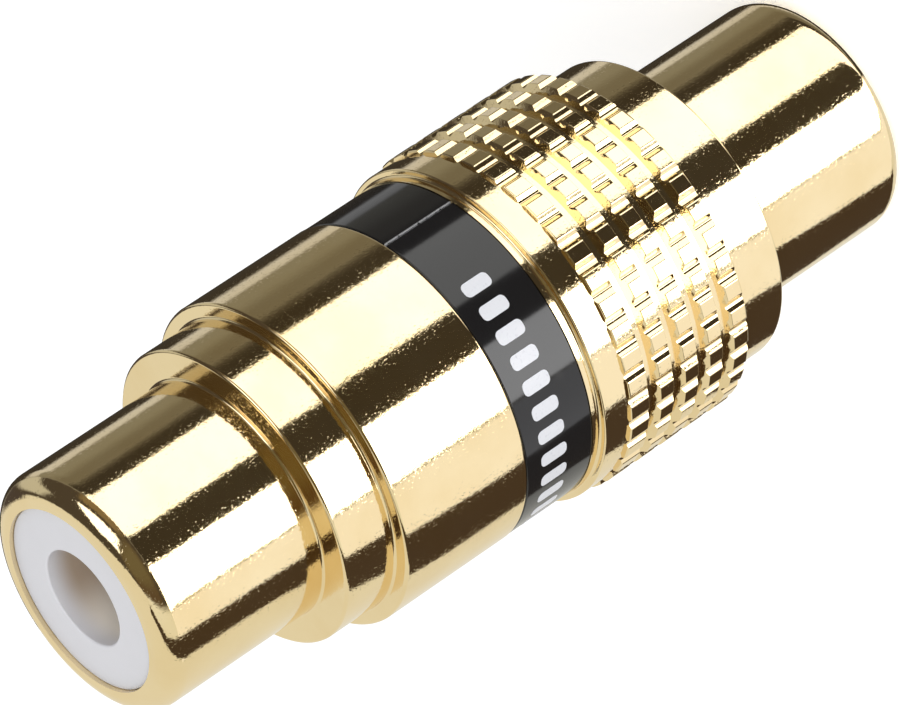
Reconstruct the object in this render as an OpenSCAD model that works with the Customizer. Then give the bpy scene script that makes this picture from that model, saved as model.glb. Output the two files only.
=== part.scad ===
// RCA coupler, a female to female joiner for two phono plugs.
// It stands on its lower barrel with +Z along its axis, and the origin is at the middle of that end.
// All sizes are in millimetres.

/* [Jack barrels] */
// Outer diameter of both barrels, the standard phono jack size
barrel_d = 8.3; // [8.2:0.05:8.5]
// Length of the lower barrel, from its mouth to the ring above it
lower_barrel_h = 6.8; // [6:0.1:8]
// Length of the upper barrel, from the collar to its mouth
upper_barrel_h = 6.2; // [5.6:0.1:8]
// Radius of the rounded lip at each mouth
lip_r = 0.75; // [0.4:0.05:0.8]

/* [Body] */
// Diameter of the narrow collar under the upper barrel
collar_d = 10.35; // [9.6:0.05:10.8]
// Height of the collar
collar_h = 2; // [1:0.1:3]
// Diameter of the plain body
body_d = 11.4; // [11.3:0.05:11.45]
// Height of the plain body above the band
body_h = 5.05; // [4:0.05:8]
// Height of the strip of body left below the band
strip_h = 0.3; // [0.2:0.05:1]
// Chamfer on the turned edges
edge_c = 0.12; // [0.05:0.01:0.15]
// Radius left by the turning tool in the open inner corners
tool_r = 0.08; // [0.04:0.01:0.12]

/* [Label band] */
// Height of the dark band and of the groove that holds it
band_h = 2.75; // [2:0.05:4]
// Outer diameter of the band, a hair below the body
band_d = 11.36; // [11.2:0.02:11.4]
// Wall of the band
band_t = 0.35; // [0.25:0.05:0.5]
// Chamfer on the band's edges
band_c = 0.05; // [0.02:0.01:0.1]
// Width of the slit that lets the band snap over the body
slit_w = 0.1; // [0.05:0.01:0.3]
// Direction of the slit round the axis, in degrees from +X
slit_angle = -47.5; // [-180:0.5:180]

/* [Grip] */
// Diameter of the smooth rim above the knurl
rim_d = 11.9; // [11.85:0.05:12]
// Height of the smooth rim
rim_h = 1; // [0.6:0.1:2]
// Outer diameter of the knurl
grip_d = 12.16; // [12.04:0.02:12.4]
// Height of the knurl
grip_h = 5.1; // [5.1:0.1:6]
// Height of the top row of studs, down to the mouth of the first groove
first_row_h = 0.75; // [0.6:0.01:0.8]
// Distance from one turned groove to the next
groove_pitch = 1.06; // [0.8:0.01:1.06]
// Width of each turned groove at its floor
groove_w = 0.21; // [0.15:0.01:0.3]
// Depth of each turned groove
groove_t = 0.27; // [0.2:0.01:0.3]
// Slope of the groove's walls, in degrees out of square
groove_angle = 30; // [20:1:35]
// Number of turned grooves between the rows of studs
groove_n = 4; // [2:1:4]
// Number of studs in each row
stud_n = 40; // [24:1:48]
// Width of the hollow flutes between the studs, across their tops
flute_w = 0.46; // [0.36:0.01:0.5]
// Depth of the flutes
flute_t = 0.15; // [0.1:0.01:0.17]
// Direction of one of the flutes round the axis, in degrees from +X
flute_angle = -1; // [-5:0.5:5]
// Diameter of the smooth ring below the knurl
ring_d = 10.84; // [10:0.02:11]
// Height of the smooth ring
ring_h = 2.15; // [1:0.05:4]

/* [Insulators] */
// Bore of the shell, filled by the two insulators
bore_d = 6.42; // [6.2:0.02:6.5]
// How far each lip stands proud of its insulator
recess = 0.15; // [0.05:0.05:0.5]
// Length of each insulator
insulator_h = 11; // [10:0.5:12]
// Hole in the face of each insulator, for the centre pin of a plug
pin_hole_d = 3.33; // [3.3:0.01:3.5]
// Thickness of the face wall
face_t = 2.2; // [2:0.1:2.8]
// Width of the room in which the contact's arms spring
room_d = 4.8; // [4.6:0.1:5]
// Length of the seat that grips the root of the contact
seat_h = 2.2; // [1.5:0.1:3]

/* [Centre contact] */
// Diameter of the contact's roots, where the insulators grip it
root_d = 4.2; // [4.1:0.05:4.4]
// Diameter of the slotted arms
arm_d = 4; // [3.8:0.05:4.05]
// Bore of the contact, a sliding fit on a plug's pin
contact_bore_d = 3.2; // [3.19:0.01:3.26]
// Lead-in chamfer at each mouth of the contact
contact_c = 0.25; // [0.1:0.05:0.25]
// Wall left between the two bores of the contact
stop_t = 2; // [1:0.1:5]
// Width of the slots between the arms
slot_w = 0.4; // [0.2:0.05:0.5]
// Diameter of the hub between the insulators
hub_d = 5; // [4.8:0.1:5.2]
// Hole through the web of the shell, clear of the hub all round
web_hole_d = 6; // [5.8:0.05:6.1]
// Gap between the contact's mouth and the face wall
mouth_gap = 0.3; // [0.05:0.05:0.5]

/* [Hidden] */
$fn = 96;

// How far a cut runs past what it cuts
e = 0.02;
over = 1;

barrel_r = barrel_d / 2;
ring_r = ring_d / 2;
grip_r = grip_d / 2;
rim_r = rim_d / 2;
body_r = body_d / 2;
band_r = band_d / 2;
band_floor_r = band_r - band_t;
collar_r = collar_d / 2;
bore_r = bore_d / 2;
web_hole_r = web_hole_d / 2;
pin_hole_r = pin_hole_d / 2;
room_r = room_d / 2;
root_r = root_d / 2;
arm_r = arm_d / 2;
hub_r = hub_d / 2;
contact_bore_r = contact_bore_d / 2;

// The knurl's top edge slopes down to the rim
grip_c = grip_r - rim_r;
// Width of a turned groove at its mouth
groove_mouth = groove_w + 2 * groove_t * tan(groove_angle);
// Radius of the round that the flutes are cut with
flute_r = (pow(flute_w / 2, 2) + pow(flute_t, 2)) / (2 * flute_t);

// Heights of the steps, from the lower mouth up
z_ring = lower_barrel_h;
z_grip = z_ring + ring_h;
z_rim = z_grip + grip_h;
z_strip = z_rim + rim_h;
z_band = z_strip + strip_h;
z_body = z_band + band_h;
z_collar = z_body + body_h;
z_barrel = z_collar + collar_h;
total_h = z_barrel + upper_barrel_h;

// The two insulators leave a web of the shell between them
z_web_low = recess + insulator_h;
z_web_high = total_h - z_web_low;

// Half the length of the contact, from the middle of the coupler to the contact's mouth
contact_h = total_h / 2 - recess - face_t - mouth_gap;
// The part of that half that each insulator surrounds, and the part that is left for the hub
held_h = insulator_h - face_t - mouth_gap;
hub_h = contact_h - held_h;
arm_h = held_h - seat_h;

gold = [0.86, 0.70, 0.38];
black = [0.12, 0.12, 0.12];
white = [0.90, 0.90, 0.92];

// What a round of radius r takes off a square outer corner; dir is 1 on a top edge, -1 on a bottom one
module corner_waste(at, r, dir) {
    translate([at.x - r, at.y - dir * r])
        difference() {
            translate([0, dir > 0 ? 0 : -r - e]) square(r + e);
            circle(r);
        }
}

// A fillet of radius r in an inner corner that opens outwards, and up (dir 1) or down (dir -1)
module inner_fillet(at, r, dir) {
    translate(at)
        difference() {
            translate([-e, dir > 0 ? -e : -r]) square(r + e);
            translate([r, dir * r]) circle(r);
        }
}

// The turned outline of the shell before its lips are rounded
module shell_outline() {
    polygon([
        [bore_r, 0],
        [barrel_r, 0],
        [barrel_r, z_ring],
        [ring_r - edge_c, z_ring],
        [ring_r, z_ring + edge_c],
        [ring_r, z_grip],
        [grip_r - edge_c, z_grip],
        [grip_r, z_grip + edge_c],
        [grip_r, z_rim - grip_c],
        [rim_r, z_rim],
        [rim_r, z_strip - edge_c],
        [rim_r - edge_c, z_strip],
        [body_r, z_strip],
        [body_r, z_band],
        [band_floor_r, z_band],
        [band_floor_r, z_body],
        [body_r - edge_c, z_body],
        [body_r, z_body + edge_c],
        [body_r, z_collar - edge_c],
        [body_r - edge_c, z_collar],
        [collar_r, z_collar],
        [collar_r, z_barrel - edge_c],
        [collar_r - edge_c, z_barrel],
        [barrel_r, z_barrel],
        [barrel_r, total_h],
        [bore_r, total_h],
        [bore_r, z_web_high],
        [web_hole_r, z_web_high],
        [web_hole_r, z_web_low],
        [bore_r, z_web_low],
    ]);
}

// One turned groove of the knurl, with sloped walls; its mouth is at x = 0, with the middle at y = 0
module groove() {
    mouth = groove_mouth / 2 + over * tan(groove_angle);
    polygon([[-groove_t, -groove_w / 2], [over, -mouth], [over, mouth], [-groove_t, groove_w / 2]]);
}

// The turned section with its round lips, its fillets and the grooves of the knurl
module shell_section() {
    difference() {
        union() {
            shell_outline();
            inner_fillet([barrel_r, z_ring], tool_r, -1);
            inner_fillet([ring_r, z_grip], tool_r, -1);
            inner_fillet([body_r, z_strip], tool_r, 1);
            inner_fillet([collar_r, z_collar], tool_r, 1);
            inner_fillet([barrel_r, z_barrel], tool_r, 1);
        }
        corner_waste([barrel_r, 0], lip_r, -1);
        corner_waste([barrel_r, total_h], lip_r, 1);
        for (i = [0 : groove_n - 1])
            translate([grip_r, z_rim - first_row_h - groove_mouth / 2 - i * groove_pitch])
                groove();
    }
}

// The flutes that cut each row of the knurl into studs; they are hollow, and they stop at the rim
module flutes() {
    for (i = [0 : stud_n - 1])
        rotate([0, 0, flute_angle + i * 360 / stud_n])
            translate([grip_r - flute_t + flute_r, 0, z_grip - over])
                cylinder(r = flute_r, h = grip_h + over);
}

// One turned and knurled shell: both barrels, the collar, the body, the rim, the knurl and the ring
module shell() {
    color(gold)
        difference() {
            rotate_extrude() shell_section();
            flutes();
        }
}

// The dark band, a ring split along the axis, in the groove of the body
module label_band() {
    color(black)
        difference() {
            rotate_extrude()
                polygon([
                    [band_floor_r, z_band],
                    [band_r - band_c, z_band],
                    [band_r, z_band + band_c],
                    [band_r, z_body - band_c],
                    [band_r - band_c, z_body],
                    [band_floor_r, z_body],
                ]);
            rotate([0, 0, slit_angle])
                translate([band_floor_r - over, -slit_w / 2, z_band - over])
                    cube([band_t + 2 * over, slit_w, band_h + 2 * over]);
        }
}

// One insulator, with its face at z = 0 and its body below
module insulator() {
    rotate_extrude()
        polygon([
            [pin_hole_r, 0],
            [bore_r, 0],
            [bore_r, -insulator_h],
            [root_r, -insulator_h],
            [root_r, seat_h - insulator_h],
            [room_r, seat_h - insulator_h],
            [room_r, -face_t],
            [pin_hole_r, -face_t],
        ]);
}

module upper_insulator() {
    color(white) translate([0, 0, total_h - recess]) insulator();
}

module lower_insulator() {
    color(white) translate([0, 0, recess]) rotate([180, 0, 0]) insulator();
}

// The upper half of the contact, from the middle of its hub up to its slotted arms
module contact_half() {
    difference() {
        rotate_extrude()
            polygon([
                [0, 0],
                [hub_r, 0],
                [hub_r, hub_h],
                [root_r, hub_h],
                [root_r, hub_h + seat_h],
                [arm_r, hub_h + seat_h],
                [arm_r, contact_h],
                [contact_bore_r + contact_c, contact_h],
                [contact_bore_r, contact_h - contact_c],
                [contact_bore_r, stop_t / 2],
                [0, stop_t / 2],
            ]);
        for (turn = [0, 90])
            rotate([0, 0, turn])
                translate([-arm_d, -slot_w / 2, contact_h - arm_h])
                    cube([2 * arm_d, slot_w, arm_h + over]);
    }
}

// The double-ended spring contact, turned in one piece and slotted at both ends
module centre_contact() {
    color(gold)
        translate([0, 0, total_h / 2]) {
            contact_half();
            mirror([0, 0, 1]) contact_half();
        }
}

shell();
label_band();
upper_insulator();
lower_insulator();
centre_contact();
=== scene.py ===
"""A phono coupler on a pale floor: its dressed pieces, the studio round it and the camera.

Lengths in the classes are millimetres; `metres` turns them into Blender's own unit. The coupler
stands on its lower barrel with +Z along its axis, and the camera looks at it from the -Y side.
"""

import logging
import math
from dataclasses import dataclass, replace
from enum import Enum
from itertools import groupby

import bpy
from mathutils import Matrix, Vector


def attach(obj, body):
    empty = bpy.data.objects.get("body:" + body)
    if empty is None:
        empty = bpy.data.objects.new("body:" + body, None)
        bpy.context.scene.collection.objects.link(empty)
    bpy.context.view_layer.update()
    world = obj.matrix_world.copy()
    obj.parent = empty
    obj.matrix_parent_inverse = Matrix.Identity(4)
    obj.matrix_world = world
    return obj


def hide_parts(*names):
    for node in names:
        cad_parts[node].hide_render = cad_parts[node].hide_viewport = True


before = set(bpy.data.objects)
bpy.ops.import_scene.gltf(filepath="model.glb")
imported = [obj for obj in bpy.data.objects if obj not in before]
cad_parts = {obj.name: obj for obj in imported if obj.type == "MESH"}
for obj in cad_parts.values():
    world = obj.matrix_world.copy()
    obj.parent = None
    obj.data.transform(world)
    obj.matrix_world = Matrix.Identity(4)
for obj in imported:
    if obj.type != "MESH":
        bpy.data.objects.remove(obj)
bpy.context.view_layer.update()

log = logging.getLogger("coupler")

ROOT = "root"
MM = 0.001
FULL_TURN = 360.0

Socket = bpy.types.NodeSocket
Triple = tuple[float, float, float]
Colour = Triple
Point = tuple[float, float]
Span = tuple[float, float]
Face = tuple[int, ...]
Feed = Socket | float | tuple[float, ...]


def metres(value: float) -> float:
    """Turn millimetres into metres."""
    return value * MM


def show(thing: bpy.types.Object) -> None:
    """Put an object into the scene's collection."""
    bpy.context.scene.collection.objects.link(thing)


# Node trees


class NodeTree:
    """Short calls for adding nodes to a tree and joining them.

    A Mix node has sockets of one name for several kinds of data, so MIX_INPUTS and MIX_OUTPUT
    tell its factor and its colours by number.
    """

    MIX_INPUTS = (0, 6, 7)
    MIX_OUTPUT = 2

    def __init__(self, tree: bpy.types.NodeTree) -> None:
        """Wrap the node tree of a material, the world or a modifier."""
        self.tree = tree

    def add(
        self, kind: str, inputs: dict[str | int, Feed] | None = None, **settings: str | bool
    ) -> bpy.types.Node:
        """Add a node.

        Args:
            kind: the node's type name.
            inputs: a value, or a socket to link, for each input by name or number.
            **settings: properties of the node itself.

        Returns:
            The new node.
        """
        node = self.tree.nodes.new(kind)
        for name, value in settings.items():
            setattr(node, name, value)
        for name, value in (inputs or {}).items():
            self.feed(node.inputs[name], value)
        return node

    def feed(self, socket: Socket, value: Feed) -> None:
        """Link a socket to an input, or set the input's own value.

        Args:
            socket: the input.
            value: another node's output, or a plain value.
        """
        if isinstance(value, Socket):
            self.tree.links.new(value, socket)
        else:
            socket.default_value = value

    def math(self, operation: str, *values: Feed) -> Socket:
        """Add a Math node with its values in order, and return the result."""
        inputs = dict(enumerate(values))
        return self.add("ShaderNodeMath", inputs, operation=operation).outputs[0]

    def ramp(self, value: Feed, low: float, high: float) -> Socket:
        """Rise smoothly from 0 at low to 1 at high, or fall where high is the lower number."""
        inputs = {"Value": value, "From Min": low, "From Max": high}
        return self.add("ShaderNodeMapRange", inputs, interpolation_type="SMOOTHSTEP").outputs["Result"]

    def noise(self, place: Socket, wavelength: float, detail: float = 2.0) -> Socket:
        """Add noise with grains about a wavelength apart and octaves of finer detail, from 0 to 1."""
        inputs = {"Vector": place, "Scale": 1 / metres(wavelength), "Detail": detail}
        return self.add("ShaderNodeTexNoise", inputs).outputs["Fac"]

    def mix(self, factor: Feed, first: Feed, second: Feed) -> Socket:
        """Mix two colours.

        Args:
            factor: the share of the second one, from 0 to 1.
            first: a colour, or a socket that gives one.
            second: the other.

        Returns:
            The mixed colour.
        """
        node = self.add("ShaderNodeMix", data_type="RGBA")
        for number, value in zip(self.MIX_INPUTS, (factor, first, second)):
            self.feed(node.inputs[number], opaque(value) if isinstance(value, tuple) else value)
        return node.outputs[self.MIX_OUTPUT]

    def bump(self, height: Socket, distance: float, below: Socket | None = None) -> Socket:
        """Add a bump.

        Args:
            height: the pattern of the bump, from 0 to 1.
            distance: how high it stands, in millimetres.
            below: the normal of a coarser bump that it lies on.

        Returns:
            The bumpy normal.
        """
        inputs = {"Height": height, "Distance": metres(distance)}
        if below is not None:
            inputs["Normal"] = below
        return self.add("ShaderNodeBump", inputs).outputs[0]

    def light(self, kind: str, colour: Feed, strength: Feed = 1.0) -> Socket:
        """Add a Background or an Emission shader, as its kind says, and return it."""
        full = opaque(colour) if isinstance(colour, tuple) else colour
        return self.add(kind, {"Color": full, "Strength": strength}).outputs[0]

    def by_ray(self, kind: str, others: Socket, chosen: Socket) -> Socket:
        """Use the chosen shader for rays of a Light Path kind and the other one for the rest."""
        is_kind = self.add("ShaderNodeLightPath").outputs[kind]
        return self.add("ShaderNodeMixShader", {0: is_kind, 1: others, 2: chosen}).outputs[0]


def opaque(colour: Colour) -> tuple[float, float, float, float]:
    """Add a full alpha to a colour."""
    return (*colour, 1.0)


# Finishes


def new_material(name: str) -> tuple[bpy.types.Material, NodeTree, bpy.types.Node]:
    """Make a material.

    Args:
        name: the material's name.

    Returns:
        The material, its tree and its principled shader.
    """
    material = bpy.data.materials.new(name)
    material.use_nodes = True
    tree = NodeTree(material.node_tree)
    return material, tree, material.node_tree.nodes["Principled BSDF"]


def empty_material(name: str) -> tuple[bpy.types.Material, NodeTree]:
    """Make a material without any node.

    Args:
        name: the material's name.

    Returns:
        The material and its tree.
    """
    material = bpy.data.materials.new(name)
    material.use_nodes = True
    material.node_tree.nodes.clear()
    return material, NodeTree(material.node_tree)


@dataclass(frozen=True)
class GoldPlating:
    """Polished gold plating on turned brass, with the fine grain that the plating bath leaves.

    Its bumps are grain, pits and a slow swell, each with a wavelength and a height.
    """

    name: str = "gold_plating"
    colour: Colour = (0.93, 0.76, 0.46)
    worn_colour: Colour = (0.88, 0.69, 0.38)
    worn_range: Span = (0.35, 0.75)
    roughness: float = 0.06
    rough_spread: float = 0.05
    rough_range: Span = (0.45, 0.8)
    grain: float = 0.11
    grain_height: float = 0.0020
    pit: float = 0.085
    pit_height: float = 0.0013
    pit_range: Span = (0.60, 0.76)
    swell: float = 1.6
    swell_height: float = 0.0012

    def build(self) -> bpy.types.Material:
        """Build the material.

        Returns:
            The material.
        """
        material, tree, shader = new_material(self.name)
        place = tree.add("ShaderNodeTexCoord").outputs["Object"]
        worn = tree.ramp(tree.noise(place, 2 * self.swell, detail=4.0), *self.worn_range)
        tree.feed(shader.inputs["Base Color"], tree.mix(worn, self.colour, self.worn_colour))
        shader.inputs["Metallic"].default_value = 1.0
        fine = tree.noise(place, self.grain, detail=3.0)
        spread = tree.math("MULTIPLY", tree.ramp(fine, *self.rough_range), self.rough_spread)
        tree.feed(shader.inputs["Roughness"], tree.math("ADD", spread, self.roughness))
        pits = tree.ramp(tree.noise(place, self.pit, detail=1.0), *self.pit_range)
        swollen = tree.bump(tree.noise(place, self.swell, detail=1.0), self.swell_height)
        grainy = tree.bump(fine, self.grain_height, swollen)
        tree.feed(shader.inputs["Normal"], tree.bump(pits, self.pit_height, grainy))
        return material


@dataclass(frozen=True)
class GlossPlastic:
    """Glossy near-black plastic with hazy patches, and a painted highlight: a pale, broken line along
    the slit's edges.
    """

    name: str = "band_plastic"
    colour: Colour = (0.012, 0.0115, 0.012)
    # Painted highlight along the slit's edges: its pale colour, its reach, the fade at its side and its
    # broken patches.
    slit_highlight_colour: Colour = (0.36, 0.36, 0.37)
    slit_highlight_w: float = 0.05
    slit_highlight_fade: float = 0.5
    slit_highlight_patch: float = 0.16
    slit_highlight_range: Span = (0.32, 0.50)
    roughness: float = 0.09
    haze: float = 0.08
    haze_patch: float = 0.75
    haze_range: Span = (0.5, 0.85)
    grain: float = 0.25
    grain_height: float = 0.0004

    def build(self, slit_angle: float, radius: float) -> bpy.types.Material:
        """Build the material.

        Args:
            slit_angle: direction of the band's slit, in degrees.
            radius: the band's radius.

        Returns:
            The material, with a painted highlight in pale colour along the edges of the slit.
        """
        material, tree, shader = new_material(self.name)
        place = tree.add("ShaderNodeTexCoord").outputs["Object"]
        x, y, _ = tree.add("ShaderNodeSeparateXYZ", {0: place}).outputs
        turn = tree.math("DEGREES", tree.math("ARCTAN2", y, x))
        away = tree.math("ABSOLUTE", tree.math("SUBTRACT", turn, slit_angle))
        # Painted highlight: pale colour in broken patches within a short reach of the slit, where its
        # rounded edges catch the light.
        reach = math.degrees(self.slit_highlight_w / radius)
        near = tree.ramp(away, reach * (1 + self.slit_highlight_fade), reach * (1 - self.slit_highlight_fade))
        patchy = tree.ramp(tree.noise(place, self.slit_highlight_patch), *self.slit_highlight_range)
        painted_slit_highlight = tree.math("MULTIPLY", near, patchy)
        tree.feed(shader.inputs["Base Color"], tree.mix(painted_slit_highlight, self.colour, self.slit_highlight_colour))
        hazy = tree.ramp(tree.noise(place, self.haze_patch, detail=5.0), *self.haze_range)
        haze = tree.math("MULTIPLY", hazy, self.haze)
        tree.feed(shader.inputs["Roughness"], tree.math("ADD", haze, self.roughness))
        grainy = tree.bump(tree.noise(place, self.grain), self.grain_height)
        tree.feed(shader.inputs["Normal"], grainy)
        return material


@dataclass(frozen=True)
class InsulatorPlastic:
    """Cool white plastic, with painted light and shade down the pin hole: warm and pale on the hole's
    -X side, dark and brown on its +X side, standing in for warm bounce light from the gold and for
    shade.
    """

    name: str = "insulator_plastic"
    colour: Colour = (0.67, 0.67, 0.705)
    cloud_colour: Colour = (0.62, 0.62, 0.65)
    cloud: float = 0.8
    cloud_range: Span = (0.3, 0.8)
    cloud_share: float = 0.25
    # Painted shade and painted light in the pin hole: a shaded and a lit colour, the depth over which
    # they take over, and the sideways span from lit to shaded.
    painted_shaded_hole_colour: Colour = (0.42, 0.33, 0.25)
    painted_lit_hole_colour: Colour = (0.93, 0.88, 0.80)
    painted_shade_depth_range: Span = (0.05, 1.0)
    painted_shade_side_range: Span = (-1.3, 0.7)
    roughness: float = 0.42
    scatter: float = 0.08
    scatter_reach: Triple = (0.6, 0.5, 0.5)
    grain: float = 0.12
    grain_height: float = 0.0012

    def build(self, faces: Span) -> bpy.types.Material:
        """Build the material.

        Args:
            faces: heights of the lower and the upper insulator's face.

        Returns:
            The material.
        """
        material, tree, shader = new_material(self.name)
        place = tree.add("ShaderNodeTexCoord").outputs["Object"]
        x, _, height = tree.add("ShaderNodeSeparateXYZ", {0: place}).outputs
        # Painted light and shade in the pin hole: deeper below either face, the wall turns from the
        # body colour to a painted lit colour on the -X side and a painted shaded colour on the +X side.
        below_top = tree.math("SUBTRACT", metres(faces[1]), height)
        above_low = tree.math("SUBTRACT", height, metres(faces[0]))
        depth = tree.math("MINIMUM", below_top, above_low)
        painted_depth_shade = tree.ramp(depth, *map(metres, self.painted_shade_depth_range))
        dark = tree.ramp(x, *map(metres, self.painted_shade_side_range))
        hole = tree.mix(dark, self.painted_lit_hole_colour, self.painted_shaded_hole_colour)
        clouds = tree.ramp(tree.noise(place, self.cloud, detail=4.0), *self.cloud_range)
        share = tree.math("MULTIPLY", clouds, self.cloud_share)
        body = tree.mix(share, self.colour, self.cloud_colour)
        tree.feed(shader.inputs["Base Color"], tree.mix(painted_depth_shade, body, hole))
        shader.inputs["Roughness"].default_value = self.roughness
        shader.inputs["Subsurface Weight"].default_value = self.scatter
        shader.inputs["Subsurface Radius"].default_value = [metres(v) for v in self.scatter_reach]
        shader.inputs["Subsurface Scale"].default_value = 1.0
        grainy = tree.bump(tree.noise(place, self.grain, detail=3.0), self.grain_height)
        tree.feed(shader.inputs["Normal"], grainy)
        return material


@dataclass(frozen=True)
class WhiteInk:
    """Screen-printed white ink, slightly uneven."""

    name: str = "white_ink"
    colour: Colour = (0.72, 0.73, 0.77)
    thin_colour: Colour = (0.56, 0.57, 0.62)
    thin_patch: float = 0.09
    thin_range: Span = (0.55, 0.85)
    roughness: float = 0.4

    def build(self) -> bpy.types.Material:
        """Build the material.

        Returns:
            The material.
        """
        material, tree, shader = new_material(self.name)
        place = tree.add("ShaderNodeTexCoord").outputs["Object"]
        thin = tree.ramp(tree.noise(place, self.thin_patch, detail=4.0), *self.thin_range)
        tree.feed(shader.inputs["Base Color"], tree.mix(thin, self.colour, self.thin_colour))
        shader.inputs["Roughness"].default_value = self.roughness
        return material


# Turned outlines


@dataclass(frozen=True)
class Corner:
    """A corner of a turned outline, at a radius and a height.

    It may be rounded, in a number of straight parts. It is fluted where flutes reach the stretch
    that starts there.
    """

    r: float
    z: float
    rounding: float = 0.0
    fluted: bool = False
    parts: int = 3


@dataclass(frozen=True)
class Cut:
    """One short straight cut of a turned outline: where it starts, and the normals at its ends."""

    start: Point
    start_normal: Point
    end_normal: Point
    fluted: bool


class Outline:
    """A closed outline of radius and height, drawn with the material on its left."""

    def __init__(self, corners: list[Corner]) -> None:
        """Round the corners and divide the outline into straight cuts.

        Args:
            corners: the outline's corners, in order.
        """
        self.cuts: list[Cut] = []
        after = corners[1:] + corners[:1]
        bends = [self.bend(corners[i - 1], corner, after[i]) for i, corner in enumerate(corners)]
        for i, (corner, bend) in enumerate(zip(corners, bends)):
            for (start, start_normal), (_, end_normal) in zip(bend, bend[1:]):
                self.cuts.append(Cut(start, start_normal, end_normal, corner.fluted))
            start, end = bend[-1][0], bends[(i + 1) % len(bends)][0][0]
            normal = self.outward(start, end)
            self.cuts.append(Cut(start, normal, normal, corner.fluted))

    @staticmethod
    def outward(start: Point, end: Point) -> Point:
        """Work out which way a straight cut faces.

        Args:
            start: its first point.
            end: its last point.

        Returns:
            Its outward normal. A cut without length faces down.
        """
        away = (end[0] - start[0], end[1] - start[1])
        length = math.hypot(*away)
        return (away[1] / length, -away[0] / length) if length else (0.0, -1.0)

    @classmethod
    def bend(cls, before: Corner, corner: Corner, after: Corner) -> list[tuple[Point, Point]]:
        """Round a corner.

        Args:
            before: the corner before it.
            corner: the corner itself.
            after: the corner after it.

        Returns:
            Its points, one if it is sharp or several, each with the normal there.
        """
        at, size = (corner.r, corner.z), corner.rounding
        if not size:
            return [(at, (0.0, 0.0))]
        inward = cls.outward((before.r, before.z), at)
        onward = cls.outward(at, (after.r, after.z))
        cross = inward[0] * onward[1] - inward[1] * onward[0]
        turn = math.atan2(cross, inward[0] * onward[0] + inward[1] * onward[1])
        reach = math.copysign(size, turn)
        back = size * math.tan(abs(turn) / 2)
        start = (at[0] + inward[1] * back, at[1] - inward[0] * back)
        centre = (start[0] - reach * inward[0], start[1] - reach * inward[1])
        first = math.atan2(inward[1], inward[0])
        points = []
        for k in range(corner.parts + 1):
            way = first + turn * k / corner.parts
            normal = (math.cos(way), math.sin(way))
            points.append(((centre[0] + reach * normal[0], centre[1] + reach * normal[1]), normal))
        return points

    def kept(self, limit: float) -> list[Point]:
        """Cut the outline down to the radius that a flute leaves.

        The points beyond that radius slide along the outline to where it is reached, so that the
        rows of all columns still match.

        Args:
            limit: the radius that the flute leaves.

        Returns:
            The first point of every cut.
        """
        whole = [cut.start for cut in self.cuts]
        points = list(whole)
        beyond = [cut.fluted and cut.start[0] > limit for cut in self.cuts]
        for cut_off, group in groupby(range(len(whole)), key=beyond.__getitem__):
            if not cut_off:
                continue
            run = list(group)
            first, last = run[0], run[-1]
            low = self.crossing(whole[first - 1], whole[first], limit)
            if self.cuts[last + 1].fluted:
                high = self.crossing(whole[last + 1], whole[last], limit)
            else:
                high = (limit, whole[last][1])
            crown = max(run[:-1], key=lambda k: math.dist(whole[k], whole[k + 1]))
            for k in run:
                points[k] = low if k <= crown else high
        return points

    @staticmethod
    def crossing(inner: Point, outer: Point, r: float) -> Point:
        """Return the point between two others at which a radius is reached."""
        part = (r - inner[0]) / (outer[0] - inner[0])
        return r, inner[1] + part * (outer[1] - inner[1])


@dataclass(frozen=True)
class Column:
    """One upright row of points in a slice.

    Its angle is in degrees. The limit is the radius that a flute leaves there, and the lean is how
    far the surface there faces sideways, in radians.
    """

    angle: float
    limit: float = math.inf
    lean: float = 0.0

    def mirrored(self, middle: float = 0.0) -> "Column":
        """Return the column's mirror image about an angle."""
        return Column(2 * middle - self.angle, self.limit, -self.lean)


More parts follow.
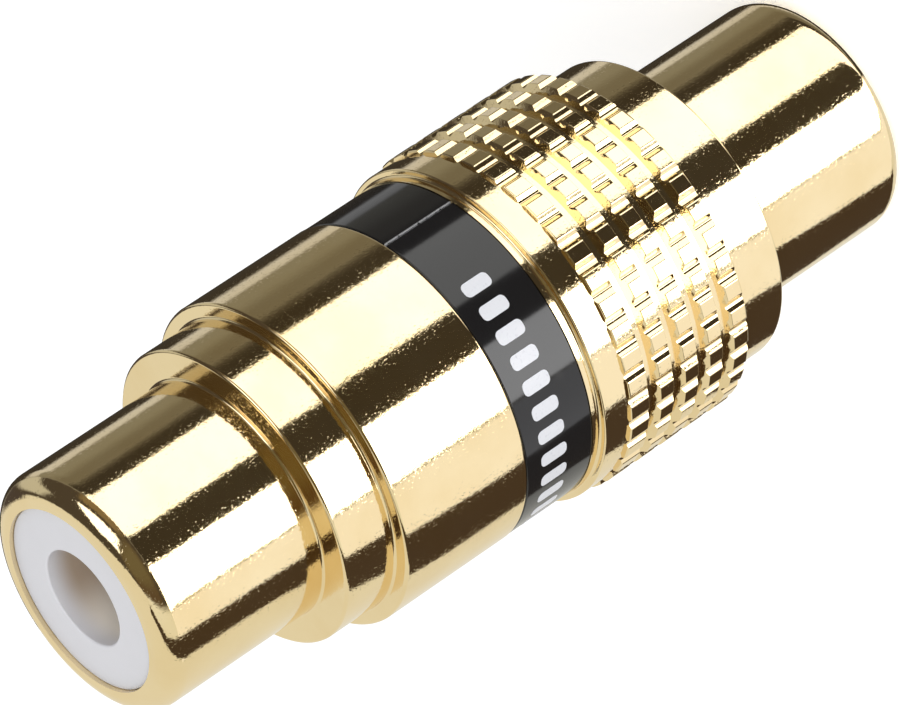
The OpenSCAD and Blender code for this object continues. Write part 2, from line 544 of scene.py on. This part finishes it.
@dataclass(frozen=True)
class Turning:
    """Turns an outline into a slice of a round piece, with the exact normals of the turned form.

    A flute leans upright surfaces only: the lean fades out as the radial normal falls to UPRIGHT.
    A corner marked AS_FACE, with a lean that no surface has, takes the normal of its face.
    """

    NORMALS = "turned_normal"
    FLAT = 9.0
    AS_FACE = (0.0, FLAT, 0.0)
    UPRIGHT = 0.75

    name: str
    outline: Outline
    columns: list[Column]

    def slice_mesh(self, caps: bool = False) -> bpy.types.Mesh:
        """Build the slice, with each corner's turned normal kept in an attribute.

        Args:
            caps: whether the slice's two ends are closed.

        Returns:
            The mesh.
        """
        cuts, columns = self.outline.cuts, self.columns
        places: dict[Triple, int] = {}
        grid = []
        for column in columns:
            turn = math.radians(column.angle)
            x, y = math.cos(turn), math.sin(turn)
            spots = [(r * x, r * y, z) for r, z in self.outline.kept(column.limit)]
            grid.append([places.setdefault(spot, len(places)) for spot in spots])
        loops = []
        for i, cut in enumerate(cuts):
            after = (i + 1) % len(cuts)
            first, last = cut.start_normal, cut.end_normal
            for j in range(len(columns) - 1):
                sides = ((j, i, first), (j + 1, i, first), (j + 1, after, last), (j, after, last))
                loop = []
                for k, row, normal in sides:
                    loop.append((grid[k][row], self.turned(normal, columns[k], cuts[row])))
                loops.append(loop)
        if caps:
            loops += [[(point, self.AS_FACE) for point in end] for end in (grid[0], grid[-1][::-1])]
        faces, normals = [], []
        for loop in loops:
            apart = [corner for k, corner in enumerate(loop) if corner[0] != loop[k - 1][0]]
            if len(apart) > 2:
                faces.append(tuple(point for point, _ in apart))
                normals += [normal for _, normal in apart]
        return self.kept_mesh(self.name, list(places), faces, normals)

    @classmethod
    def turned(cls, normal: Point, column: Column, cut: Cut) -> Triple:
        """Add the lean of a flute's wall to a turned normal.

        Args:
            normal: the outline's normal.
            column: the column that the point stands in.
            cut: the cut that starts at the point.

        Returns:
            The radial normal, the lean and the upward normal.
        """
        lean = column.lean if cut.fluted and cut.start[0] > column.limit else 0.0
        upright = max(0.0, (normal[0] - cls.UPRIGHT) / (1 - cls.UPRIGHT))
        return normal[0], lean * upright, normal[1]

    @classmethod
    def kept_mesh(
        cls, name: str, points: list[Triple], faces: list[Face], normals: list[Triple]
    ) -> bpy.types.Mesh:
        """Make a mesh that carries its turned normals.

        Args:
            name: the mesh's name.
            points: its points.
            faces: its faces.
            normals: for each corner of each face the radial normal, the lean and the upward normal.

        Returns:
            The mesh.
        """
        mesh = bpy.data.meshes.new(name)
        mesh.from_pydata([[metres(v) for v in point] for point in points], [], faces)
        kept = mesh.attributes.new(cls.NORMALS, "FLOAT_VECTOR", "CORNER")
        kept.data.foreach_set("vector", [v for normal in normals for v in normal])
        return mesh

    @classmethod
    def smooth(cls, mesh: bpy.types.Mesh) -> None:
        """Give a finished mesh the exact normals of its turned surfaces.

        Args:
            mesh: the mesh, which loses the attribute that kept them.
        """
        kept = mesh.attributes[cls.NORMALS]
        normals = [Vector()] * len(mesh.loops)
        for face in mesh.polygons:
            for k in face.loop_indices:
                r, lean, z = kept.data[k].vector
                at = mesh.vertices[mesh.loops[k].vertex_index].co
                turn = math.atan2(at.y, at.x) + lean
                turned = Vector((r * math.cos(turn), r * math.sin(turn), z))
                normals[k] = face.normal.copy() if lean == cls.FLAT else turned
        mesh.attributes.remove(kept)
        mesh.shade_smooth()
        mesh.normals_split_custom_set(normals)


@dataclass(frozen=True)
class Spread:
    """How many copies stand round the axis, where the first one is, and the step, in degrees."""

    count: int
    first: float
    step: float


class RingTree:
    """Repeats a mesh at equal steps round the axis, welds the copies and gives them a material."""

    WELD = 0.0005
    INPUTS = (
        ("Slice", "NodeSocketObject"),
        ("Count", "NodeSocketInt"),
        ("First angle", "NodeSocketFloat"),
        ("Step", "NodeSocketFloat"),
        ("Weld distance", "NodeSocketFloat"),
        ("Material", "NodeSocketMaterial"),
    )

    def __init__(self) -> None:
        """Build the tree."""
        self.group = bpy.data.node_groups.new("ring_of_slices", "GeometryNodeTree")
        self.group.is_modifier = True
        interface = self.group.interface
        self.sockets: dict[str, str] = {}
        for label, kind in self.INPUTS:
            socket = interface.new_socket(label, in_out="INPUT", socket_type=kind)
            self.sockets[label] = socket.identifier
        interface.new_socket("Geometry", in_out="OUTPUT", socket_type="NodeSocketGeometry")
        tree = NodeTree(self.group)
        given = tree.add("NodeGroupInput").outputs
        slice_info = tree.add("GeometryNodeObjectInfo", {"Object": given["Slice"]})
        points = tree.add("GeometryNodePoints", {"Count": given["Count"]})
        index = tree.add("GeometryNodeInputIndex").outputs[0]
        turn = tree.math("MULTIPLY_ADD", index, given["Step"], given["First angle"])
        euler = tree.add("ShaderNodeCombineXYZ", {"Z": tree.math("RADIANS", turn)})
        rotation = tree.add("FunctionNodeEulerToRotation", {0: euler.outputs[0]})
        copies = tree.add(
            "GeometryNodeInstanceOnPoints",
            {
                "Points": points.outputs[0],
                "Instance": slice_info.outputs["Geometry"],
                "Rotation": rotation.outputs[0],
            },
        )
        real = tree.add("GeometryNodeRealizeInstances", {"Geometry": copies.outputs[0]})
        welded = tree.add(
            "GeometryNodeMergeByDistance",
            {"Geometry": real.outputs[0], "Distance": given["Weld distance"]},
        )
        dressed = tree.add(
            "GeometryNodeSetMaterial",
            {"Geometry": welded.outputs[0], "Material": given["Material"]},
        )
        tree.add("NodeGroupOutput", {"Geometry": dressed.outputs[0]})

    def repeat(
        self, name: str, part: bpy.types.Mesh, spread: Spread, material: bpy.types.Material
    ) -> bpy.types.Object:
        """Make a piece from equal slices.

        Args:
            name: the piece's name.
            part: the slice's mesh.
            spread: how many slices there are, and where they stand.
            material: what all of them are dressed in.

        Returns:
            The piece, as a plain mesh without modifiers.
        """
        source = bpy.data.objects.new(f"{name}_slice", part)
        target = bpy.data.objects.new(name, bpy.data.meshes.new(name))
        show(source)
        show(target)
        modifier = target.modifiers.new("ring", "NODES")
        modifier.node_group = self.group
        values = {
            "Slice": source,
            "Count": spread.count,
            "First angle": spread.first,
            "Step": spread.step,
            "Weld distance": metres(self.WELD),
            "Material": material,
        }
        for label, value in values.items():
            modifier[self.sockets[label]] = value
        bpy.context.view_layer.update()
        graph = bpy.context.evaluated_depsgraph_get()
        made = bpy.data.meshes.new_from_object(
            target.evaluated_get(graph), preserve_all_data_layers=True, depsgraph=graph
        )
        target.modifiers.remove(modifier)
        target.data = made
        made.name = name
        bpy.data.objects.remove(source)
        bpy.data.meshes.remove(part)
        Turning.smooth(made)
        return target


# The pieces


@dataclass(frozen=True)
class Sizes:
    """The coupler's driving dimensions, and the heights of its steps from the lower mouth up."""

    barrel_r: float = 4.15
    lip_r: float = 0.75
    bore_r: float = 3.21
    ring_r: float = 5.42
    grip_r: float = 6.08
    rim_r: float = 5.95
    body_r: float = 5.70
    collar_r: float = 5.175
    band_r: float = 5.68
    band_floor_r: float = 5.33
    web_hole_r: float = 3.0
    pin_hole_r: float = 1.665
    z_ring: float = 6.8
    z_grip: float = 8.95
    z_rim: float = 14.05
    z_strip: float = 15.05
    z_band: float = 15.35
    z_body: float = 18.1
    z_collar: float = 23.15
    z_barrel: float = 25.15
    total_h: float = 31.35
    recess: float = 0.15
    insulator_h: float = 11.0

    @property
    def z_web_low(self) -> float:
        """Height of the underside of the web between the two bores."""
        return self.recess + self.insulator_h

    @property
    def z_web_high(self) -> float:
        """Height of the top of that web."""
        return self.total_h - self.z_web_low


@dataclass
class Shell:
    """The turned and knurled shell: barrels, collar, body, rim, knurl and ring in one piece."""

    sizes: Sizes
    edge_r: float = 0.11
    fillet_r: float = 0.10
    lip_parts: int = 12
    stud_count: int = 40
    stud_edge_r: float = 0.03
    run_in_r: float = 0.06
    run_in_parts: int = 5
    rim_edge_r: float = 0.06
    first_row_h: float = 0.75
    groove_pitch: float = 1.06
    groove_w: float = 0.21
    groove_t: float = 0.27
    groove_angle: float = 30.0
    groove_count: int = 4
    flute_t: float = 0.15
    flute_bottom_r: float = 0.24
    flute_crease: float = 11.0
    flute_wall: float = 42.5
    flute_edge_r: float = 0.097
    flute_angle: float = -1.06
    flute_parts: int = 4

    def corners(self) -> list[Corner]:
        """Draw the shell.

        Returns:
            The corners of its closed outline, from the lower mouth up and back inside.
        """
        s, e, f = self.sizes, self.edge_r, self.fillet_r
        return [
            Corner(s.bore_r, 0.0),
            Corner(s.barrel_r, 0.0, s.lip_r, parts=self.lip_parts),
            Corner(s.barrel_r, s.z_ring, f),
            Corner(s.ring_r, s.z_ring, e),
            Corner(s.ring_r, s.z_grip, f, fluted=True),
            Corner(s.grip_r, s.z_grip, e, fluted=True),
            *self.groove_corners(),
            Corner(s.grip_r, s.z_rim, self.run_in_r, fluted=True, parts=self.run_in_parts),
            Corner(s.rim_r, s.z_rim, fluted=True),
            Corner(s.rim_r, s.z_rim),
            Corner(s.rim_r, s.z_strip, self.rim_edge_r),
            Corner(s.body_r, s.z_strip, f),
            Corner(s.body_r, s.z_band),
            Corner(s.band_floor_r, s.z_band),
            Corner(s.band_floor_r, s.z_body),
            Corner(s.body_r, s.z_body, e),
            Corner(s.body_r, s.z_collar, e),
            Corner(s.collar_r, s.z_collar, f),
            Corner(s.collar_r, s.z_barrel, e),
            Corner(s.barrel_r, s.z_barrel, f),
            Corner(s.barrel_r, s.total_h, s.lip_r, parts=self.lip_parts),
            Corner(s.bore_r, s.total_h),
            Corner(s.bore_r, s.z_web_high),
            Corner(s.web_hole_r, s.z_web_high),
            Corner(s.web_hole_r, s.z_web_low),
            Corner(s.bore_r, s.z_web_low),
        ]

    def groove_corners(self) -> list[Corner]:
        """Draw the turned grooves between the rows of studs.

        Returns:
            Their corners, from the lowest groove up.
        """
        s = self.sizes
        floor = self.groove_w / 2
        mouth = floor + self.groove_t * math.tan(math.radians(self.groove_angle))
        floor_r = s.grip_r - self.groove_t
        corners = []
        for k in reversed(range(self.groove_count)):
            middle = s.z_rim - self.first_row_h - mouth - k * self.groove_pitch
            corners += [
                Corner(s.grip_r, middle - mouth, self.stud_edge_r, fluted=True),
                Corner(floor_r, middle - floor, fluted=True),
                Corner(floor_r, middle + floor, fluted=True),
                Corner(s.grip_r, middle + mouth, self.stud_edge_r, fluted=True),
            ]
        return corners

    def columns(self) -> list[Column]:
        """Draw one stud in plan, from the flute on one side of it to that on the other.

        A flute has a hollow bottom with a slight crease, straight walls and well rounded edges.

        Returns:
            The columns of the slice.
        """
        crown_r, edge_r, bottom_r = self.sizes.grip_r, self.flute_edge_r, self.flute_bottom_r
        steep, crease = math.radians(self.flute_wall), math.radians(self.flute_crease)
        bottom = Vector((crown_r - self.flute_t, 0.0))
        bottom += bottom_r * Vector((math.cos(crease), -math.sin(crease)))
        spots = []
        for k in range(self.flute_parts + 1):
            facing = -crease - (steep - crease) * k / self.flute_parts
            spots.append((bottom - bottom_r * Vector((math.cos(facing), math.sin(facing))), facing))
        foot = spots[-1][0]
        along, inner = Vector((math.sin(steep), math.cos(steep))), crown_r - edge_r
        beside = foot - edge_r * Vector((math.cos(steep), -math.sin(steep)))
        reach = beside.dot(along)
        edge = beside + (math.sqrt(reach**2 - beside.length_squared + inner**2) - reach) * along
        crown = math.atan2(edge.y, edge.x)
        for k in range(self.flute_parts):
            facing = -steep + (crown + steep) * k / self.flute_parts
            spots.append((edge + edge_r * Vector((math.cos(facing), math.sin(facing))), facing))
        half = FULL_TURN / self.stud_count / 2
        left = []
        for spot, facing in spots:
            at = math.atan2(spot.y, spot.x)
            left.append(Column(math.degrees(at) - half, spot.length, facing - at))
        left.append(Column(math.degrees(crown) - half))
        right = [column.mirrored() for column in reversed(left)]
        return [*left, Column(0.0), *right]

    def build(self, ring: RingTree, gold: bpy.types.Material) -> bpy.types.Object:
        """Turn the shell from equal slices, one for each stud round it.

        Args:
            ring: the tree that repeats the slice.
            gold: the plating.

        Returns:
            The finished piece.
        """
        step = FULL_TURN / self.stud_count
        studs = Spread(self.stud_count, self.flute_angle + step / 2, step)
        turning = Turning("turned_shell", Outline(self.corners()), self.columns())
        piece = ring.repeat("turned_shell", turning.slice_mesh(), studs, gold)
        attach(piece, ROOT)
        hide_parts("shell")
        return piece


@dataclass
class Band:
    """The dark band, split along the axis, and the plain white bars printed on it.

    The bends are the angles at which a bar's round corners have their points.
    """

    sizes: Sizes
    edge_r: float = 0.05
    slit_w: float = 0.05
    slit_angle: float = -47.5
    slit_edge_r: float = 0.05
    slit_edge_parts: int = 5
    parts: int = 240
    bar_w: float = 0.50
    bar_h: float = 1.06
    bar_corner: float = 0.18
    bar_bends: tuple[float, ...] = (0.0, 25.0, 50.0, 70.0, 90.0)
    bars: Spread = Spread(count=13, first=-77.0, step=-9.0)
    bar_lift: float = 0.006
    bar_z: float = 16.98

    def outline(self) -> Outline:
        """Draw the band.

        Returns:
            Its closed outline.
        """
        s, e = self.sizes, self.edge_r
        return Outline(
            [
                Corner(s.band_floor_r, s.z_band, fluted=True),
                Corner(s.band_r, s.z_band, e, fluted=True),
                Corner(s.band_r, s.z_body, e, fluted=True),
                Corner(s.band_floor_r, s.z_body),
            ]
        )

    def columns(self) -> list[Column]:
        """Space out the band's columns, closer at the rounded edges of the slit.

        Returns:
            The columns from one edge of the slit round to the other.
        """
        r, c = self.sizes.band_r, self.slit_edge_r
        half = math.degrees(self.slit_w / 2 / r)
        first = []
        for k in range(self.slit_edge_parts + 1):
            facing = math.pi / 2 * (1 - k / self.slit_edge_parts)
            across = math.degrees(c * (1 - math.sin(facing)) / r)
            limit = r - c * (1 - math.cos(facing)) if facing else math.inf
            first.append(Column(self.slit_angle + half + across, limit, -facing))
        middle = self.slit_angle + FULL_TURN / 2
        last = [column.mirrored(middle) for column in reversed(first)]
        start, stop = first[-1].angle, last[0].angle
        steps = [start + (stop - start) * k / self.parts for k in range(1, self.parts)]
        return [*first, *map(Column, steps), *last]

    def build(self, plastic: bpy.types.Material) -> bpy.types.Object:
        """Turn the band from one edge of its slit round to the other.

        Args:
            plastic: the band's material.

        Returns:
            The finished piece.
        """
        mesh = Turning("split_band", self.outline(), self.columns()).slice_mesh(caps=True)
        Turning.smooth(mesh)
        mesh.materials.append(plastic)
        piece = bpy.data.objects.new("split_band", mesh)
        show(piece)
        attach(piece, ROOT)
        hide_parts("label_band")
        return piece

    def bar_mesh(self) -> bpy.types.Mesh:
        """Build one printed bar, a thin plate with round corners that follows the band.

        Returns:
            The mesh.
        """
        r = self.sizes.band_r + self.bar_lift
        half_w, half_h, c = self.bar_w / 2, self.bar_h / 2, self.bar_corner
        inner = half_w - c
        spots = [inner + c * math.sin(math.radians(bend)) for bend in self.bar_bends]
        across = [-x for x in reversed(spots)] + [0.0] + spots
        top, foot = [], []
        for x in across:
            beyond = max(0.0, abs(x) - inner)
            reach = half_h - c + math.sqrt(max(0.0, c * c - beyond * beyond))
            turn = x / r
            for z in (self.bar_z - reach, self.bar_z + reach):
                for points, radius in ((top, r), (foot, r - 2 * self.bar_lift)):
                    points.append((radius * math.cos(turn), radius * math.sin(turn), z))
        count = len(top)
        faces = [(k, k + 2, k + 3, k + 1) for k in range(0, count - 2, 2)]
        normals = [(1.0, 0.0, 0.0)] * (4 * len(faces))
        faces += [tuple(k + count for k in reversed(face)) for face in faces]
        normals += [Turning.AS_FACE] * len(normals)
        loop = list(range(0, count, 2)) + list(range(count - 1, 0, -2))
        for a, b in zip(loop, loop[1:] + loop[:1]):
            faces.append((a, a + count, b + count, b))
            normals += [Turning.AS_FACE] * 4
        return Turning.kept_mesh("bar", top + foot, faces, normals)

    def print_bars(self, ring: RingTree, ink: bpy.types.Material) -> bpy.types.Object:
        """Print the row of plain bars.

        Args:
            ring: the tree that repeats one bar.
            ink: the bars' material.

        Returns:
            The finished piece.
        """
        piece = ring.repeat("printed_bars", self.bar_mesh(), self.bars, ink)
        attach(piece, ROOT)
        return piece


@dataclass
class Insulator:
    """A white bush in one end of the shell, with the hole for a plug's pin."""

    sizes: Sizes
    face_t: float = 2.2
    room_r: float = 2.4
    root_r: float = 2.1
    seat_h: float = 2.2
    hole_edge_r: float = 0.07
    hole_edge_parts: int = 4
    rim_edge_r: float = 0.04
    slices: int = 30
    parts: int = 8

    def corners(self) -> list[Corner]:
        """Draw the upper bush.

        Returns:
            The corners of its closed outline.
        """
        s = self.sizes
        face, foot = s.total_h - s.recess, s.z_web_high
        return [
            Corner(self.root_r, foot),
            Corner(s.bore_r, foot),
            Corner(s.bore_r, face, self.rim_edge_r),
            Corner(s.pin_hole_r, face, self.hole_edge_r, parts=self.hole_edge_parts),
            Corner(s.pin_hole_r, face - self.face_t),
            Corner(self.room_r, face - self.face_t),
            Corner(self.room_r, foot + self.seat_h),
            Corner(self.root_r, foot + self.seat_h),
        ]

    def build(self, ring: RingTree, plastic: bpy.types.Material) -> list[bpy.types.Object]:
        """Turn the two bushes.

        Args:
            ring: the tree that repeats the slice.
            plastic: their material.

        Returns:
            The upper and the lower one.
        """
        upper = self.corners()
        lower = [replace(corner, z=self.sizes.total_h - corner.z) for corner in reversed(upper)]
        made = []
        step = FULL_TURN / self.slices
        columns = [Column(step * k / self.parts) for k in range(self.parts + 1)]
        for name, corners in (("upper", upper), ("lower", lower)):
            mesh = Turning(f"{name}_bush", Outline(corners), columns).slice_mesh()
            piece = ring.repeat(f"{name}_bush", mesh, Spread(self.slices, 0.0, step), plastic)
            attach(piece, ROOT)
            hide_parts(f"{name}_insulator")
            made.append(piece)
        return made


# The studio


class Zone(Enum):
    """Stretches of height in the studio round the coupler, in degrees above the horizon."""

    LOW = (-90.0, -3.0)
    SILL = (-3.0, 20.0)
    SIDE = (-3.0, 27.0)
    MIDDLE = (-3.0, 37.0)
    HIGH = (31.0, 68.0)
    GLOW = (12.0, 76.0)
    TALL = (-3.0, 62.0)
    UPPER = (-3.0, 90.0)


@dataclass(frozen=True)
class Panel:
    """A lit or dark panel of the studio, as the polished metal sees it.

    The azimuth is 0 towards the camera and grows clockwise as seen from above.
    """

    name: str
    azimuth: Span
    zone: Zone
    colour: Colour
    strength: float = 1.0
    soft: float = 2.0


@dataclass
class Studio:
    """The pale floor, the soft light and the panels that the metal mirrors.

    Each panel lies over those before it.
    """

    background: Colour = (1.0, 1.0, 1.0)
    ambient: float = 0.80
    wall: Colour = (0.81, 0.80, 0.73)
    floor_colour: Colour = (0.90, 0.90, 0.90)
    floor_glow: float = 0.32
    floor_half: float = 4000.0
    lamp_d: float = 250.0
    lamp_energy: float = 0.55
    lamp_place: Triple = (-100.0, -280.0, 270.0)
    lamp_aim: Triple = (0.0, 0.0, 20.0)
    panels: tuple[Panel, ...] = (
        Panel("dark_room", (-157.0, 49.0), Zone.UPPER, (0.075, 0.062, 0.05), soft=6.0),
        Panel("dark_corner", (-167.0, -152.0), Zone.SIDE, (0.075, 0.062, 0.06), soft=6.0),
        Panel("pale_corner", (-147.0, -121.0), Zone.MIDDLE, (0.56, 0.56, 0.52), soft=7.0),
        Panel("brown_glow", (-20.0, 46.0), Zone.GLOW, (0.115, 0.080, 0.048), soft=12.0),
        Panel("olive_glow", (-20.0, 24.0), Zone.GLOW, (0.165, 0.140, 0.080), soft=26.0),
        Panel("pale_side", (46.0, 74.0), Zone.TALL, (0.86, 0.88, 0.85), soft=12.0),
        Panel("sill", (-75.0, -26.0), Zone.SILL, (0.24, 0.18, 0.10), soft=9.0),
        Panel("dark_floor", (-200.0, 50.0), Zone.LOW, (0.048, 0.040, 0.030), soft=4.0),
        Panel("left_gap_glow", (-140.0, -126.0), Zone.LOW, (0.62, 0.62, 0.62), soft=6.0),
        Panel("left_floor", (-126.0, -92.0), Zone.LOW, (0.25, 0.24, 0.20), soft=5.0),
        Panel("left_floor_far", (-108.0, -90.0), Zone.LOW, (0.18, 0.165, 0.13), soft=14.0),
        Panel("left_softbox", (-71.0, -21.5), Zone.LOW, (1.0, 1.0, 0.97), strength=2.0),
        Panel("top_softbox", (-80.0, -26.0), Zone.HIGH, (1.0, 1.0, 1.0), strength=2.4, soft=6.0),
        Panel("cream_card", (44.0, 98.0), Zone.LOW, (1.04, 1.04, 1.06), soft=2.0),
        Panel("right_softbox", (9.0, 49.0), Zone.LOW, (1.0, 1.0, 1.0), strength=4.5, soft=1.5),
        Panel("seam", (48.6, 50.4), Zone.LOW, (0.25, 0.22, 0.15), soft=0.8),
    )
    flag_colour: Colour = (0.066, 0.047, 0.033)
    flag_x: float = -30.0
    flag_rows: tuple[Triple, ...] = (
        (105.0, -13.0, 2.0),
        (66.0, -9.0, 1.5),
        (52.0, -8.0, -0.8),
        (40.0, -11.0, -1.3),
        (29.0, -11.8, -0.6),
        (17.5, -9.5, 2.4),
        (13.5, -8.8, 4.0),
        (9.3, -5.8, 11.2),
        (5.5, -4.0, 15.0),
        (-1.0, -5.0, 15.4),
        (-9.0, -2.5, 22.0),
        (-13.0, 0.5, 28.0),
        (-30.0, 6.0, 50.0),
    )

    def build(self) -> None:
        """Build the world, the floor, the flag and the lamp."""
        self.build_world()
        self.build_floor()
        self.build_flag()
        self.build_lamp()

    def build_world(self) -> None:
        """Build the world: white to the camera, even to matt surfaces, panels to glossy ones."""
        world = bpy.data.worlds.new("studio")
        bpy.context.scene.world = world
        world.use_nodes = True
        world.cycles.sampling_method = "NONE"
        world.node_tree.nodes.clear()
        tree = NodeTree(world.node_tree)
        direction = tree.add("ShaderNodeTexCoord").outputs["Generated"]
        x, y, z = tree.add("ShaderNodeSeparateXYZ", {0: direction}).outputs
        left, front = (tree.math("MULTIPLY", part, -1.0) for part in (x, y))
        azimuth = tree.math("DEGREES", tree.math("ARCTAN2", left, front))
        height = tree.math("DEGREES", tree.math("ARCSINE", z))
        colour = self.wall
        for panel in self.panels:
            across = self.mask(tree, azimuth, panel.azimuth, panel.soft)
            upright = self.mask(tree, height, panel.zone.value, panel.soft)
            inside = tree.math("MULTIPLY", across, upright)
            lit = tuple(c * panel.strength for c in panel.colour)
            colour = tree.mix(inside, colour, lit)
            colour.node.label = panel.name
        even = tree.light("ShaderNodeBackground", self.background, self.ambient)
        seen = tree.light("ShaderNodeBackground", self.background)
        mirrored = tree.light("ShaderNodeBackground", colour)
        surface = tree.by_ray("Is Camera Ray", tree.by_ray("Is Glossy Ray", even, mirrored), seen)
        tree.add("ShaderNodeOutputWorld", {"Surface": surface})

    @staticmethod
    def mask(tree: NodeTree, value: Socket, span: Span, soft: float) -> Socket:
        """Tell whether an angle is within a span.

        Args:
            tree: the world's tree.
            value: the angle to test, in degrees.
            span: the span's two ends, in degrees.
            soft: the width of each end's slope, in degrees.

        Returns:
            1 within the span and 0 outside it, with soft ends.
        """
        rise = tree.ramp(value, span[0] - soft / 2, span[0] + soft / 2)
        fall = tree.ramp(value, span[1] + soft / 2, span[1] - soft / 2)
        return tree.math("MULTIPLY", rise, fall)

    def build_floor(self) -> None:
        """Build the pale floor, which keeps the shadow and which the metal looks through."""
        half = metres(self.floor_half)
        mesh = bpy.data.meshes.new("floor")
        corners = [(-half, -half, 0), (half, -half, 0), (half, half, 0), (-half, half, 0)]
        mesh.from_pydata(corners, [], [(0, 1, 2, 3)])
        material, tree = empty_material("pale_floor")
        paint = tree.add("ShaderNodeBsdfDiffuse", {"Color": opaque(self.floor_colour)}).outputs[0]
        is_seen = tree.add("ShaderNodeLightPath").outputs["Is Camera Ray"]
        strength = tree.math("MULTIPLY", is_seen, self.floor_glow)
        glow = tree.light("ShaderNodeEmission", self.background, strength)
        lit = tree.add("ShaderNodeAddShader", {0: paint, 1: glow}).outputs[0]
        clear = tree.add("ShaderNodeBsdfTransparent").outputs[0]
        surface = tree.by_ray("Is Glossy Ray", lit, clear)
        tree.add("ShaderNodeOutputMaterial", {"Surface": surface})
        mesh.materials.append(material)
        floor = bpy.data.objects.new("floor", mesh)
        show(floor)

    def build_flag(self) -> None:
        """Stand the dark flag beside the coupler, which only the metal sees.

        Its rows give a height and how far it reaches to the front and to the back there.
        """
        spots = [(self.flag_x, y, z) for z, *ends in self.flag_rows for y in ends]
        points = [[metres(v) for v in spot] for spot in spots]
        faces = [(k, k + 1, k + 3, k + 2) for k in range(0, len(points) - 2, 2)]
        mesh = bpy.data.meshes.new("flag")
        mesh.from_pydata(points, [], faces)
        material, tree = empty_material("flag_cloth")
        cloth = tree.light("ShaderNodeEmission", self.flag_colour)
        tree.add("ShaderNodeOutputMaterial", {"Surface": cloth})
        mesh.materials.append(material)
        flag = bpy.data.objects.new("flag", mesh)
        flag.visible_camera = flag.visible_diffuse = flag.visible_shadow = False
        show(flag)

    def build_lamp(self) -> None:
        """Hang one large soft lamp, which shapes the matt pieces and the shadow on the floor."""
        lamp = bpy.data.lights.new("soft_lamp", "AREA")
        lamp.shape, lamp.size, lamp.energy = "DISK", metres(self.lamp_d), self.lamp_energy
        holder = bpy.data.objects.new("soft_lamp", lamp)
        place, aim = Vector(self.lamp_place) * MM, Vector(self.lamp_aim) * MM
        holder.location = place
        holder.rotation_euler = (aim - place).to_track_quat("-Z", "Y").to_euler()
        holder.visible_camera = holder.visible_glossy = False
        show(holder)


@dataclass(frozen=True)
class Viewpoint:
    """The camera at the photo's viewing angle: above the coupler and rolled over to one side."""

    lens: float = 280.0
    sensor: float = 36.0
    place: Triple = (0.011, -192.2, 119.46)
    looks_down: float = 28.28
    roll: float = -123.77
    clip: Span = (10.0, 50000.0)

    def build(self) -> None:
        """Make the camera and set it as the scene's."""
        data = bpy.data.cameras.new("camera")
        data.lens, data.sensor_width = self.lens, self.sensor
        data.clip_start, data.clip_end = map(metres, self.clip)
        camera = bpy.data.objects.new("camera", data)
        tilt = Matrix.Rotation(math.radians(90.0 - self.looks_down), 4, "X")
        turn = Matrix.Rotation(math.radians(self.roll), 4, "Z")
        camera.matrix_world = Matrix.Translation([metres(v) for v in self.place]) @ tilt @ turn
        show(camera)
        bpy.context.scene.camera = camera


def dress_contact(gold: bpy.types.Material) -> None:
    """Give the hidden contact, which keeps its CAD mesh, the plating.

    Args:
        gold: the plating.
    """
    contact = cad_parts["centre_contact"]
    for slot in contact.material_slots:
        slot.material = gold


def main() -> None:
    """Build the coupler's pieces, the studio and the camera, and report each piece."""
    logging.basicConfig(level=logging.INFO, format="%(name)s: %(message)s")
    bpy.context.scene.view_settings.view_transform = "Standard"
    sizes = Sizes()
    gold = GoldPlating().build()
    ring = RingTree()
    band = Band(sizes)
    insulator_plastic = InsulatorPlastic().build((sizes.recess, sizes.total_h - sizes.recess))
    made = [
        Shell(sizes).build(ring, gold),
        band.build(GlossPlastic().build(band.slit_angle, sizes.band_r)),
        band.print_bars(ring, WhiteInk().build()),
        *Insulator(sizes).build(ring, insulator_plastic),
    ]
    dress_contact(gold)
    for piece in made:
        log.info("%s: %d faces", piece.name, len(piece.data.polygons))
    Studio().build()
    Viewpoint().build()


if __name__ == "__main__":
    main()
